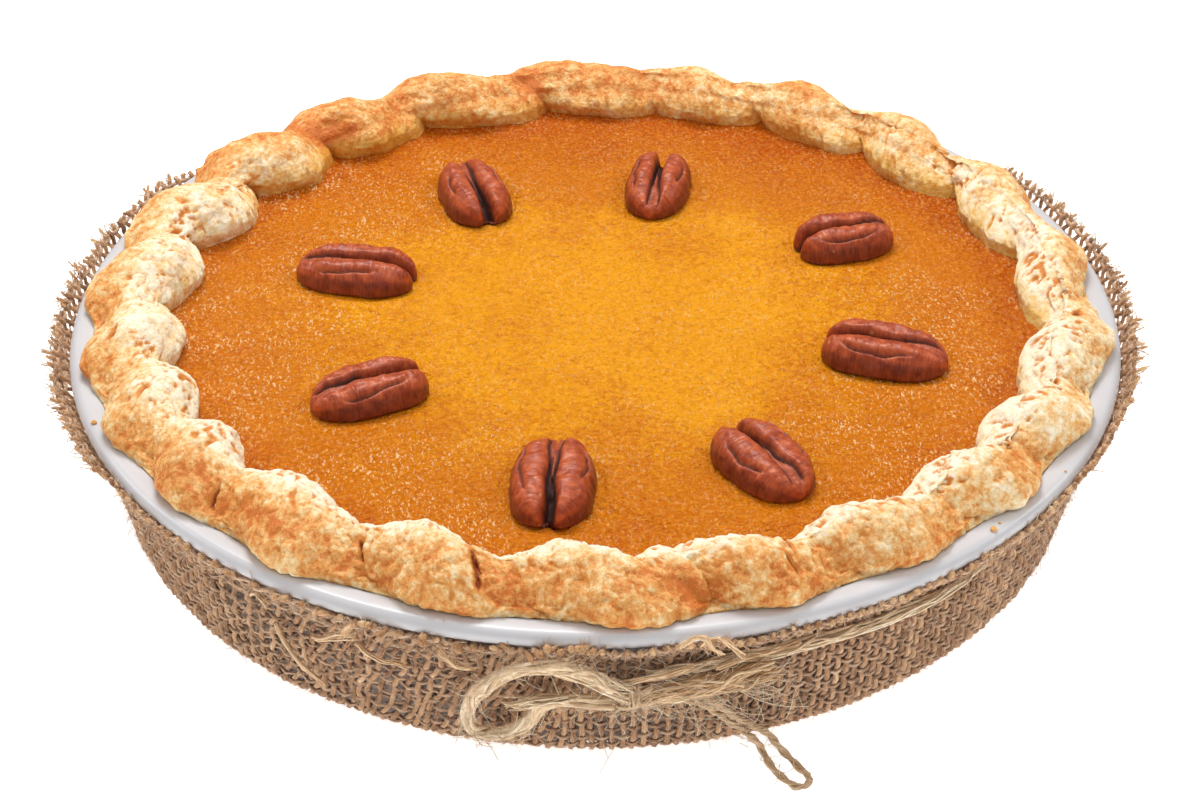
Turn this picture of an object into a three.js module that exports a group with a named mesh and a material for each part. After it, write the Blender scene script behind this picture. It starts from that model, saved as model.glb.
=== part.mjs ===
// Pumpkin pie with pecan halves, baked in a round ceramic dish that is wrapped in a band of
// burlap and tied with jute twine.
// Millimetres, +Z up. The origin is on the table under the middle of the dish, and -Y is the
// side of the bow.
import * as THREE from 'three';

// ---- driving dimensions ----

const GAP = 0.3; // clear space kept between pieces that touch
const ROUND_STEPS = 48; // facets round the dish and the burlap

// burlap band: one layer of cloth, tucked under the foot and flared above the twine
const CLOTH = 2.0;
const TUCK_RADIUS = 96; // inner edge of the cloth under the foot
const CORNER_RADIUS = 117; // circle on which the bottom corner is centred
const CORNER_ROUND = 9; // bend of the cloth at that corner, at mid cloth
const CORNER_END = -11; // angle where the bend meets the wall, in degrees
const CLOTH_TOP = [
  [130.2, 32.0],
  [131.4, 37.0],
  [136.4, 41.4],
  [139.0, 46.0],
];

// ceramic dish
const FOOT_Z = CLOTH + GAP;
const DISH_CORNER = CORNER_ROUND - CLOTH / 2 - GAP; // outer bend of the dish
const WALL_KINK = [128.9, 32.0]; // outer wall at the height of the twine
const UNDER_LIP = [130.9, 40.3];
const LIP_EDGE = { radius: 134.0, z: 44.3, round: 2.2 };
const LIP_INNER = 129.8;
const DISH_INSIDE = [
  [126.9, 44.0],
  [124.2, 32.0],
  [119.8, 10.5],
  [113.0, 6.8],
];

// pastry case
const WALL_CLEAR = 0.6; // between the pastry and the wall of the dish, so that facets never meet
const PASTRY_FLOOR = 5.0;
const HEEL = { radius: -1.5, z: 17.0, floor: -8.0 }; // inner corner, measured from the opening
const LEVEL_Z = 45.0; // surface of the filling
const FILLING_CLEAR = 0.4; // between the filling and the wall of the pastry
const CREST_Z = 57.0; // top of the rolled edge
const RIM_FOOT_Z = LIP_EDGE.z + LIP_EDGE.round + GAP; // where the rolled edge sits on the lip
const RIM = { inner: 111.8, crest: 117.5, outer: 130.8 }; // mean radii of the rolled edge
const WAVE = { inner: 4.3, crest: 3.8, outer: 2.6 }; // how far a full flute moves each of them
const ROLL = { foot: 1.5, belly: 2.6, shoulder: 3.4, crown: 0.5, lean: 2.2, lap: 3.5, rootDepth: 1 };
const RIM_SHIFT = 2.4; // the opening is pinched this much wider towards +X
const FLUTE_STEPS = 6; // facets along one flute

// Flutes pinched by hand: direction of each inward fold in degrees from +X, and its depth.
const FLUTES = [
  [3, 1.0], [21, 0.6], [39, 1.1], [56, 1.0], [73, 0.7], [87, 0.5], [107, 0.8], [124, 0.8],
  [138, 1.0], [154, 1.3], [171, 1.1], [187, 1.0], [201, 0.9], [215, 1.0], [229, 1.0],
  [248, 1.0], [265, 1.0], [281, 1.2], [298, 1.0], [314, 1.0], [328, 1.0], [343, 1.0],
];

// pecan halves: x, y, direction of the split end in degrees, length, width
const PECANS = [
  [-34.1, 62.3, -73, 32, 19.5],
  [17.6, 65.7, 80, 31, 18.5],
  [67.9, 36.0, 196, 28, 19],
  [73.9, -21.0, 163, 33, 20],
  [40.6, -70.0, 122, 31, 20.5],
  [-10.2, -78.6, -94, 33, 21.5],
  [-56.6, -38.4, 26, 31, 19],
  [-63.9, 19.4, -10, 33, 20],
];
const PECAN = { showing: 7.4, blunt: 2.4, long: 8, across: 9 };
const FURROW = { depth: 1.3, deepening: 0.7, width: 0.16 }; // down the middle, deeper at the split

// jute twine
const TWINE = { radius: 133.5, z: 32.0, thick: 3.2, steps: 60, sides: 6 };
const KNOT = { angle: -86.3, radius: 136.0, z: 29.8, half: [4.6, 3.8, 5.2], ringEnd: 4.2 };
const BOW_THICK = 2.8;
const BOW_STEPS = 24;
const TAIL_THICK = 1.8;
const TAIL_STEPS = 34;
const CORD_SIDES = 8;

// Routes of the two loops: direction in degrees, distance from the axis, height.
const BOW_ROUTE = [
  [-88.2, 137.1, 32.4], [-89.2, 137.3, 34.6], [-90.2, 137.5, 36.6], [-91.6, 137.9, 38.4],
  [-93.4, 138.6, 39.7], [-95.7, 138.4, 39.1], [-97.6, 137.8, 37.0], [-99.1, 137.4, 34.4],
  [-100.6, 136.9, 30.6], [-101.8, 134.9, 25.6], [-102.8, 132.6, 19.2], [-102.7, 131.4, 14.5],
  [-102.0, 130.8, 12.2], [-100.8, 130.6, 11.6], [-99.4, 130.8, 12.5], [-98.3, 131.0, 14.0],
  [-97.1, 131.5, 16.4], [-96.1, 132.0, 19.8], [-95.2, 132.8, 23.6], [-93.9, 133.6, 26.0],
  [-92.5, 134.0, 26.6], [-91.1, 134.4, 26.6], [-89.8, 134.8, 26.4], [-88.2, 135.2, 26.4],
];
const TAIL_ROUTE = [
  [-84.3, 134.6, 28.7], [-82.8, 133.4, 28.0], [-81.2, 133.0, 27.0], [-79.6, 132.6, 25.4],
  [-78.5, 132.4, 23.0], [-77.4, 131.8, 19.8], [-75.7, 131.0, 15.6], [-74.1, 130.6, 12.4],
  [-73.1, 130.4, 10.3], [-71.9, 130.4, 7.4], [-70.7, 132.4, 3.2], [-69.9, 136.0, 1.6],
  [-69.5, 139.4, 1.3], [-69.6, 141.6, 1.2], [-70.4, 142.6, 1.1], [-71.2, 141.6, 1.1],
  [-71.8, 139.0, 1.2], [-72.3, 135.2, 1.5], [-72.6, 131.8, 3.0], [-73.4, 130.2, 6.4],
  [-74.4, 130.2, 9.4], [-75.7, 130.2, 12.4], [-77.4, 130.8, 17.0], [-79.0, 131.6, 21.0],
  [-80.3, 132.0, 23.2], [-81.8, 132.4, 24.4], [-83.2, 132.8, 25.0], [-85.0, 133.8, 25.6],
];

// ---- materials ----

const plain = (color, roughness) => new THREE.MeshStandardMaterial({ color, roughness, metalness: 0 });
const GLAZE = plain(0xeef0f2, 0.12);
const PASTRY = plain(0xdfb06a, 0.75);
const CUSTARD = plain(0xd77a0c, 0.4);
const NUT = plain(0x7d3f22, 0.55);
const JUTE = plain(0xa07c54, 0.95);
const TWINE_JUTE = plain(0xc2a673, 0.95);

const radians = THREE.MathUtils.degToRad;
const group = new THREE.Group();

function add(name, geometry, material) {
  const mesh = new THREE.Mesh(geometry, material);
  mesh.name = name;
  group.add(mesh);
  return mesh;
}

// A profile of [radius, z] pairs turned round the vertical axis.
function turned(profile, steps) {
  const points = profile.map(([radius, z]) => new THREE.Vector2(radius, z));
  return new THREE.LatheGeometry(points, steps).rotateX(Math.PI / 2);
}

function arc(centreRadius, centreZ, round, from, to, steps) {
  const points = [];
  for (let i = 0; i <= steps; i += 1) {
    const angle = radians(from + ((to - from) * i) / steps);
    points.push([centreRadius + round * Math.cos(angle), centreZ + round * Math.sin(angle)]);
  }
  return points;
}

const CORNER_Z = CORNER_ROUND + CLOTH / 2;

// ---- burlap band ----

// Moves an open profile sideways by a distance, to its right for a positive one.
function offset(profile, distance) {
  return profile.map((point, i) => {
    const before = profile[Math.max(i - 1, 0)];
    const after = profile[Math.min(i + 1, profile.length - 1)];
    const along = new THREE.Vector2(after[0] - before[0], after[1] - before[1]).normalize();
    return [point[0] + along.y * distance, point[1] - along.x * distance];
  });
}

function burlapBand() {
  const middle = [
    [TUCK_RADIUS, CLOTH / 2],
    ...arc(CORNER_RADIUS, CORNER_Z, CORNER_ROUND, -90, CORNER_END, 2),
    ...CLOTH_TOP,
  ];
  const outside = offset(middle, CLOTH / 2);
  const inside = offset(middle, -CLOTH / 2).reverse();
  return turned([...outside, ...inside, outside[0]], ROUND_STEPS);
}

// ---- ceramic dish ----

function dish() {
  const profile = [
    [0, FOOT_Z],
    ...arc(CORNER_RADIUS, CORNER_Z, DISH_CORNER, -90, CORNER_END, 2),
    WALL_KINK,
    UNDER_LIP,
    ...arc(LIP_EDGE.radius, LIP_EDGE.z, LIP_EDGE.round, -90, 90, 3),
    [LIP_INNER, LIP_EDGE.z + LIP_EDGE.round],
    ...DISH_INSIDE,
    [0, DISH_INSIDE.at(-1)[1]],
  ];
  return turned(profile, ROUND_STEPS);
}

// ---- pastry and filling, which share the wave of the flutes ----

// Direction and wave of a place along the rim, counted in flutes. The wave is 1 at an inward
// fold and -1 half way to the next one, times the depth of the flutes there.
function flute(place) {
  const count = FLUTES.length;
  const index = Math.floor(place) % count;
  const along = place - Math.floor(place);
  const [start, depth] = FLUTES[index];
  const next = FLUTES[(index + 1) % count];
  const span = (next[0] - start + 360) % 360;
  const strength = THREE.MathUtils.lerp(depth, next[1], along);
  return { angle: radians(start + span * along), wave: strength * Math.cos(2 * Math.PI * along) };
}

// A closed surface whose [radius, z] profile follows the flutes.
function fluted(profileAt) {
  const steps = FLUTES.length * FLUTE_STEPS;
  const first = profileAt(flute(0));
  const geometry = turned(first, steps);
  const position = geometry.attributes.position;
  for (let step = 0; step <= steps; step += 1) {
    const place = flute((step % steps) / FLUTE_STEPS);
    profileAt(place).forEach(([radius, z], row) => {
      const x = radius * Math.cos(place.angle);
      const y = radius * Math.sin(place.angle);
      position.setXYZ(step * first.length + row, x, y, z);
    });
  }
  return geometry;
}

const innerEdge = ({ angle, wave }) => RIM.inner + RIM_SHIFT * Math.cos(angle) - WAVE.inner * wave;

const PASTRY_BASE_Z = DISH_INSIDE.at(-1)[1] + GAP;
const PASTRY_TOP_Z = PASTRY_BASE_Z + PASTRY_FLOOR;

function pastryProfile(place) {
  const inner = innerEdge(place);
  const crest = RIM.crest + (RIM_SHIFT / 2) * Math.cos(place.angle) - WAVE.crest * place.wave;
  const outer = RIM.outer - WAVE.outer * place.wave;
  const [lip, wall, corner, floor] = DISH_INSIDE;
  return [
    [0, PASTRY_BASE_Z],
    [floor[0] - WALL_CLEAR, PASTRY_BASE_Z],
    [corner[0] - WALL_CLEAR, corner[1] + GAP],
    [wall[0] - WALL_CLEAR, wall[1]],
    [lip[0] - WALL_CLEAR, lip[1]],
    [lip[0] - WALL_CLEAR, RIM_FOOT_Z],
    [outer - ROLL.foot, RIM_FOOT_Z],
    [outer, RIM_FOOT_Z + ROLL.belly],
    [outer - ROLL.belly, CREST_Z - ROLL.shoulder],
    [(outer + crest) / 2, CREST_Z - ROLL.crown],
    [crest, CREST_Z],
    [(2 * inner + crest) / 3, CREST_Z - ROLL.lean],
    [inner, LEVEL_Z + ROLL.lap],
    [inner, LEVEL_Z - ROLL.rootDepth],
    [inner + HEEL.radius, HEEL.z],
    [inner + HEEL.floor, PASTRY_TOP_Z],
    [0, PASTRY_TOP_Z],
  ];
}

function fillingProfile(place) {
  const inner = innerEdge(place) - FILLING_CLEAR;
  return [
    [0, PASTRY_TOP_Z + GAP],
    [inner + HEEL.floor, PASTRY_TOP_Z + GAP],
    [inner + HEEL.radius, HEEL.z + GAP],
    [inner, LEVEL_Z - ROLL.rootDepth],
    [inner, LEVEL_Z],
    [0, LEVEL_Z],
  ];
}

// ---- pecan halves ----

// A half nut: two lobes along x with a furrow between them, flat underneath, and split at +x.
function pecan(length, width) {
  const { showing, blunt, long, across } = PECAN;
  const points = [];
  const faces = [];
  for (let i = 1; i < long; i += 1) {
    const u = Math.cos(Math.PI * (1 - i / long));
    const bulge = Math.sqrt(1 - Math.abs(u) ** blunt);
    const furrow = FURROW.depth + FURROW.deepening * u;
    for (let j = 0; j <= across; j += 1) {
      const v = -Math.cos((Math.PI * j) / across);
      const round = Math.sqrt(1 - v * v);
      const groove = furrow * Math.exp(-((v / FURROW.width) ** 2));
      const top = Math.max(round * bulge * showing - groove * bulge, 0);
      points.push(new THREE.Vector3((u * length) / 2, (v * bulge * width) / 2, top));
    }
  }
  const row = across + 1;
  const last = (long - 2) * row;
  const near = points.push(new THREE.Vector3(-length / 2, 0, 0)) - 1;
  const far = points.push(new THREE.Vector3(length / 2, 0, 0)) - 1;
  for (let i = 0; i < long - 2; i += 1) {
    for (let j = 0; j < across; j += 1) {
      const a = i * row + j;
      faces.push(a, a + row, a + row + 1, a, a + row + 1, a + 1);
    }
    const a = i * row;
    const b = a + across;
    faces.push(a, b, b + row, a, b + row, a + row);
  }
  for (let j = 0; j < across; j += 1) {
    faces.push(near, j, j + 1, far, last + j + 1, last + j);
  }
  faces.push(near, across, 0, far, last, last + across);
  const geometry = new THREE.BufferGeometry().setFromPoints(points);
  geometry.setIndex(faces);
  return geometry;
}

// ---- twine ----

const polar = ([angle, radius, z]) => {
  const turn = radians(angle);
  return new THREE.Vector3(radius * Math.cos(turn), radius * Math.sin(turn), z);
};

function tube(curve, thick, sides, steps) {
  const section = new THREE.Shape();
  for (let i = 0; i < sides; i += 1) {
    const angle = (2 * Math.PI * i) / sides;
    const x = (thick / 2) * Math.cos(angle);
    const y = (thick / 2) * Math.sin(angle);
    if (i === 0) section.moveTo(x, y);
    else section.lineTo(x, y);
  }
  section.closePath();
  return new THREE.ExtrudeGeometry(section, { steps, extrudePath: curve, bevelEnabled: false });
}

// The ring of twine, open only where its two ends enter the knot.
class RingCurve extends THREE.Curve {
  getPoint(t, target = new THREE.Vector3()) {
    const half = THREE.MathUtils.radToDeg(KNOT.ringEnd / TWINE.radius);
    const angle = KNOT.angle + half + (360 - 2 * half) * t;
    return target.copy(polar([angle, TWINE.radius, TWINE.z]));
  }
}

function knot() {
  const [along, out, high] = KNOT.half;
  return new THREE.SphereGeometry(1, 10, 6).rotateX(Math.PI / 2).scale(along, out, high);
}

// ---- assembly ----

add('burlap_band', burlapBand(), JUTE);
add('dish', dish(), GLAZE);
add('crust', fluted(pastryProfile), PASTRY);
add('filling', fluted(fillingProfile), CUSTARD);

PECANS.forEach(([x, y, direction, length, width], i) => {
  const half = add(`pecan_${i + 1}`, pecan(length, width), NUT);
  half.position.set(x, y, LEVEL_Z + GAP);
  half.rotation.z = radians(direction);
});

add('twine_ring', tube(new RingCurve(), TWINE.thick, TWINE.sides, TWINE.steps), TWINE_JUTE);
const bowKnot = add('twine_knot', knot(), TWINE_JUTE);
bowKnot.position.copy(polar([KNOT.angle, KNOT.radius, KNOT.z]));
bowKnot.rotation.z = radians(KNOT.angle + 90);

const bowCurve = new THREE.CatmullRomCurve3(BOW_ROUTE.map(polar));
const tailCurve = new THREE.CatmullRomCurve3(TAIL_ROUTE.map(polar));
add('twine_bow', tube(bowCurve, BOW_THICK, CORD_SIDES, BOW_STEPS), TWINE_JUTE);
add('twine_tail', tube(tailCurve, TAIL_THICK, CORD_SIDES, TAIL_STEPS), TWINE_JUTE);

export default group;
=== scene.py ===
"""Pumpkin pie with pecan halves in a white ceramic dish, wrapped in burlap and tied with jute twine.

Lengths are in millimetres, z up from the table, and become metres where a mesh is written.
"""
import math

import bpy
import numpy as np
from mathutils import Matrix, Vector


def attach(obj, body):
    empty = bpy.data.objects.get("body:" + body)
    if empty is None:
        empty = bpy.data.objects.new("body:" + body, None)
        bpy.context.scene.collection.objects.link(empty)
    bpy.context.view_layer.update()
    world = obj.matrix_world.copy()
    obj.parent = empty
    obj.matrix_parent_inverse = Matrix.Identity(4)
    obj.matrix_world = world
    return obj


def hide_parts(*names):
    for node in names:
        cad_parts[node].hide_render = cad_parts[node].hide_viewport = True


MM = 0.001
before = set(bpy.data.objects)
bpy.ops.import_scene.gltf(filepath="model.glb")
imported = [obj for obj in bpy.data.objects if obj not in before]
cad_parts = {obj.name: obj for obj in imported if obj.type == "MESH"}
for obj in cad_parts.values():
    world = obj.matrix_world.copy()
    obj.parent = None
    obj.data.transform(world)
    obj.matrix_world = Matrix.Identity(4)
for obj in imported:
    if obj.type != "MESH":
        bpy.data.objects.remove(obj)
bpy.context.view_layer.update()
rng = np.random.default_rng(7)

# ---- driving dimensions ----

LEVEL_Z = 45.0          # surface of the filling
CREST_Z = 57.0          # top of the rolled edge
LIP_TOP = 46.5          # top of the lip of the dish
TABLE_Z = 0.0

# Directions of the inward folds of the rolled edge, in degrees, and how deep each was pinched.
FLUTES = [
    (3, 1.0), (21, 0.6), (39, 1.1), (56, 1.0), (73, 0.7), (87, 0.5), (107, 0.8), (124, 0.8),
    (138, 1.0), (154, 1.3), (171, 1.1), (187, 1.0), (201, 0.9), (215, 1.0), (229, 1.0),
    (248, 1.0), (265, 1.0), (281, 1.2), (298, 1.0), (314, 1.0), (328, 1.0), (343, 1.0),
]
RIM = {"inner": 111.8, "crest": 117.5, "outer": 130.8}      # mean radii of the rolled edge
RIM_SHIFT = 2.4         # the opening lies this much towards +X

# Pecan halves: x, y, direction of the split end in degrees, length, width.
PECANS = [
    (-34.1, 62.3, -73, 32, 19.5), (17.6, 65.7, 80, 31, 18.5), (67.9, 36.0, 196, 28, 19),
    (73.9, -21.0, 163, 33, 20), (40.6, -69.5, 122, 31, 20.5), (-10.2, -77.6, -94, 33, 21.5),
    (-56.6, -38.4, 26, 31, 19), (-63.9, 19.4, -10, 33, 20),
]

# Routes of the two loops of twine: direction in degrees, distance from the axis, height.
BOW_ROUTE = [
    (-88.2, 137.1, 32.4), (-89.2, 137.3, 34.6), (-90.2, 137.5, 36.6), (-91.6, 137.9, 38.4),
    (-93.4, 138.6, 39.7), (-95.7, 138.4, 39.1), (-97.6, 137.8, 37.0), (-99.1, 137.4, 34.4),
    (-100.6, 136.9, 30.6), (-101.8, 134.9, 25.6), (-102.8, 132.6, 19.2), (-102.7, 131.4, 14.5),
    (-102.0, 130.8, 12.2), (-100.8, 130.6, 11.6), (-99.4, 130.8, 12.5), (-98.3, 131.0, 14.0),
    (-97.1, 131.5, 16.4), (-96.1, 132.0, 19.8), (-95.2, 132.8, 23.6), (-93.9, 133.6, 26.0),
    (-92.5, 134.0, 26.6), (-91.1, 134.4, 26.6), (-89.8, 134.8, 26.4), (-88.2, 135.2, 26.4),
]
TAIL_ROUTE = [
    (-84.3, 134.6, 28.7), (-82.8, 133.4, 28.0), (-81.2, 133.0, 27.0), (-79.6, 132.6, 25.4),
    (-78.5, 132.4, 23.0), (-77.4, 131.8, 19.8), (-75.7, 131.0, 15.6), (-74.1, 130.6, 12.4),
    (-73.1, 130.4, 10.3), (-71.9, 130.4, 7.4), (-70.7, 132.4, 3.2), (-69.9, 136.0, 1.6),
    (-69.5, 139.4, 1.3), (-69.6, 141.6, 1.2), (-70.4, 142.6, 1.1), (-71.2, 141.6, 1.1),
    (-71.8, 139.0, 1.2), (-72.3, 135.2, 1.5), (-72.6, 131.8, 3.0), (-73.4, 130.2, 6.4),
    (-74.4, 130.2, 9.4), (-75.7, 130.2, 12.4), (-77.4, 130.8, 17.0), (-79.0, 131.6, 21.0),
    (-80.3, 132.0, 23.2), (-81.8, 132.4, 24.4), (-83.2, 132.8, 25.0), (-85.0, 133.8, 25.6),
]
KNOT = {"angle": -86.3, "radius": 136.0, "z": 29.8}


# ---- small helpers ----

def stacked(*parts):
    """Puts arrays together as the coordinates of points."""
    return np.stack(np.broadcast_arrays(*parts), -1)


def polar(angle, radius, z):
    """Points from a direction in degrees, a distance from the axis and a height."""
    turn = np.radians(angle)
    return stacked(radius * np.cos(turn), radius * np.sin(turn), z)


def smoothstep(low, high, x):
    t = np.clip((x - low) / (high - low), 0, 1)
    return t * t * (3 - 2 * t)


def bell(x, middle, width):
    """1 at the middle, and falling off to both sides as a bell curve."""
    return np.exp(-((x - middle) / width) ** 2)


def unit(v):
    return v / np.maximum(np.linalg.norm(v, axis=-1, keepdims=True), 1e-9)


LATTICE = rng.permutation(256)
DIRECTIONS = unit(rng.normal(size=(256, 3)))


def grain(points, size, seed=0):
    """Smooth noise from about -1 to 1, with features of the given size."""
    p = points / size + 19.7 * (seed + 1)
    cell = np.floor(p).astype(int)
    part = p - cell
    ease = part ** 3 * (part * (part * 6 - 15) + 10)
    total = 0
    for corner in np.ndindex(2, 2, 2):
        x, y, z = np.moveaxis(cell + corner, -1, 0)
        pick = LATTICE[(LATTICE[(LATTICE[x & 255] + y) & 255] + z) & 255]
        slope = (DIRECTIONS[pick] * (part - corner)).sum(-1)
        total = total + slope * np.where(corner, ease, 1 - ease).prod(-1)
    return total * 1.7


def clouds(points, size, octaves=3, seed=0):
    return sum(grain(points, size / 2 ** i, seed + i) / 2 ** i for i in range(octaves))


def spline(a, b, c, d, f):
    """A point between b and c of four control points, at a share f of the way."""
    bend_part = (2 * a - 5 * b + 4 * c - d) * f ** 2
    return 0.5 * (2 * b + (c - a) * f + bend_part + (3 * b - a - 3 * c + d) * f ** 3)


def run_along(points):
    """Length from the first point to each point of a line."""
    return np.concatenate([[0], np.cumsum(np.linalg.norm(np.diff(points, axis=0), axis=1))])


def away(angle, middle):
    """How many degrees a direction is from another."""
    return np.abs((np.asarray(angle, float) - middle + 180) % 360 - 180)


def through(points, steps):
    """A smooth curve through a few points, at evenly spaced places along it."""
    p = np.asarray(points, float)
    p = np.vstack([2 * p[0] - p[1], p, 2 * p[-1] - p[-2]])
    t = np.linspace(0, len(p) - 3, 40 * len(p))
    i = np.minimum(t.astype(int), len(p) - 4)
    f = (t - i)[:, None]
    a, b, c, d = p[i], p[i + 1], p[i + 2], p[i + 3]
    dense = spline(a, b, c, d, f)
    run = run_along(dense)
    even = np.linspace(0, run[-1], steps)
    return stacked(*(np.interp(even, run, column) for column in dense.T))


def routed(points, steps):
    """A smooth curve through points given as direction, distance from the axis and height."""
    return through(polar(*np.array(points).T), steps)


def deselect():
    if bpy.context.object and bpy.context.object.mode != "OBJECT":
        bpy.ops.object.mode_set(mode="OBJECT")
    bpy.ops.object.select_all(action="DESELECT")


def activate(piece):
    deselect()
    piece.select_set(True)
    bpy.context.view_layer.objects.active = piece


def attribute(piece, name, values):
    """Keeps one number, or one vector, for each point of a piece under a name that its finish reads."""
    values = np.asarray(values, np.float32)
    if values.size == 3 * len(piece.data.vertices):
        piece.data.attributes.new(name, "FLOAT_VECTOR", "POINT").data.foreach_set("vector", values.ravel())
    else:
        piece.data.attributes.new(name, "FLOAT", "POINT").data.foreach_set("value", values.ravel())


def outward(piece):
    """Turns every face of a closed piece outwards and smooths its shading."""
    activate(piece)
    bpy.ops.object.mode_set(mode="EDIT")
    bpy.ops.mesh.select_all(action="SELECT")
    bpy.ops.mesh.normals_make_consistent(inside=False)
    bpy.ops.object.mode_set(mode="OBJECT")
    bpy.ops.object.shade_smooth()


def points_of(piece):
    """The points of a piece in metres, one to a row."""
    at = np.empty(3 * len(piece.data.vertices), np.float32)
    piece.data.vertices.foreach_get("co", at)
    return at.reshape(-1, 3)


def move_points(piece, at):
    piece.data.vertices.foreach_set("co", at.astype(np.float32).ravel())


def skin(name, rings, values):
    """A closed surface through rows of rings, shaped from a sphere with as many rings.

    values are (name, array) pairs, one number or vector for each point of the rings.
    """
    rows, columns = rings.shape[:2]
    deselect()
    bpy.ops.mesh.primitive_uv_sphere_add(segments=columns, ring_count=rows + 1, radius=1)
    piece = bpy.context.object
    piece.name = piece.data.name = name
    at = points_of(piece)
    row = np.rint(np.arccos(np.clip(at[:, 2], -1, 1)) / math.pi * (rows + 1)).astype(int)
    column = np.rint(np.arctan2(at[:, 1], at[:, 0]) / (2 * math.pi) * columns).astype(int) % columns
    inside = np.clip(row - 1, 0, rows - 1)
    placed = rings[inside, column].copy()
    placed[row == 0] = rings[0].mean(0)
    placed[row == rows + 1] = rings[-1].mean(0)
    move_points(piece, placed * MM)
    for label, array in values:
        attribute(piece, label, array[inside, column])
    outward(piece)
    return piece


def turned(name, profile, segments=192):
    """A solid of revolution, raised ring by ring from the first [radius, z] pair."""
    (radius, z), rest = profile[0], profile[1:]
    deselect()
    bpy.ops.mesh.primitive_circle_add(vertices=segments, radius=radius * MM, fill_type="NGON",
                                      location=(0, 0, z * MM))
    piece = bpy.context.object
    piece.name = piece.data.name = name
    bpy.ops.object.mode_set(mode="EDIT")
    for next_radius, next_z in rest:
        bpy.ops.mesh.extrude_region_move(TRANSFORM_OT_translate={"value": (0, 0, (next_z - z) * MM)})
        wider = next_radius / radius
        bpy.ops.transform.resize(value=(wider, wider, 1), center_override=(0, 0, next_z * MM))
        radius, z = next_radius, next_z
    bpy.ops.object.mode_set(mode="OBJECT")
    bpy.ops.object.transform_apply(location=True, rotation=True, scale=True)
    outward(piece)
    bpy.ops.object.shade_smooth_by_angle(angle=math.radians(40))
    return piece


def bend(radius, z, size, start, end, steps):
    """[radius, z] pairs along an arc from one angle to another."""
    angles = np.radians(np.linspace(start, end, steps + 1))
    return [(radius + size * math.cos(a), z + size * math.sin(a)) for a in angles]


def strands(name, paths, across, flat=1.0, sides=4, closed=False, side_of=None):
    """Threads along paths of shape (count, points, 3), with half widths `across` at each point.

    side_of gives the direction that a flat thread faces. Each point also keeps its place along and
    round its thread, so that a finish can follow the fibres.
    """
    count, points = paths.shape[:2]
    if closed:
        along = np.roll(paths, -1, 1) - np.roll(paths, 1, 1)
    else:
        along = np.gradient(paths, axis=1)
    along = unit(along)
    if side_of is None:
        side_of = np.broadcast_to(unit(rng.normal(size=(count, 1, 3))), paths.shape)
    wide = unit(np.cross(along, side_of))
    thick = np.cross(wide, along)
    across = np.broadcast_to(across, (count, points))[..., None, None]
    turn = np.linspace(0, 2 * math.pi, sides, endpoint=False)[:, None]
    ring = wide[:, :, None] * np.cos(turn) + thick[:, :, None] * np.sin(turn) * flat
    at = paths[:, :, None] + across * ring
    number = np.arange(count * points * sides).reshape(count, points, sides)
    after = np.roll(number, -1, 1) if closed else number[:, 1:]
    here = number if closed else number[:, :-1]
    quads = np.stack([here, np.roll(here, -1, 2), np.roll(after, -1, 2), after], -1).reshape(-1, 4)
    triangles = np.empty((0, 3), int)
    if not closed:
        fan = np.array([[0, k, k + 1] for k in range(1, sides - 1)])
        triangles = np.concatenate([number[:, 0][:, fan[:, ::-1]], number[:, -1][:, fan]]).reshape(-1, 3)
    mesh = bpy.data.meshes.new(name)
    mesh.vertices.add(at.size // 3)
    mesh.vertices.foreach_set("co", (at * MM).astype(np.float32).ravel())
    corners = np.concatenate([quads.ravel(), triangles.ravel()])
    starts = np.concatenate([np.arange(len(quads)) * 4, len(quads) * 4 + np.arange(len(triangles)) * 3])
    mesh.loops.add(len(corners))
    mesh.loops.foreach_set("vertex_index", corners.astype(np.int32))
    mesh.polygons.add(len(starts))
    mesh.polygons.foreach_set("loop_start", starts.astype(np.int32))
    mesh.update(calc_edges=True)
    mesh.validate()
    piece = bpy.data.objects.new(name, mesh)
    bpy.context.collection.objects.link(piece)
    mesh.shade_smooth()
    run = np.zeros((count, points))
    run[:, 1:] = np.cumsum(np.linalg.norm(np.diff(paths, axis=1), axis=2), axis=1)
    run += rng.uniform(0, 900, (count, 1))
    turn, across = turn[:, 0], across[..., 0]
    attribute(piece, "laid", stacked(run[..., None], across * np.cos(turn), across * np.sin(turn) * flat))
    shade = np.repeat(rng.uniform(0, 1, (count, 1)), points * sides, 1)
    attribute(piece, "tone", shade)
    return piece


# ---- finishes ----

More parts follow.
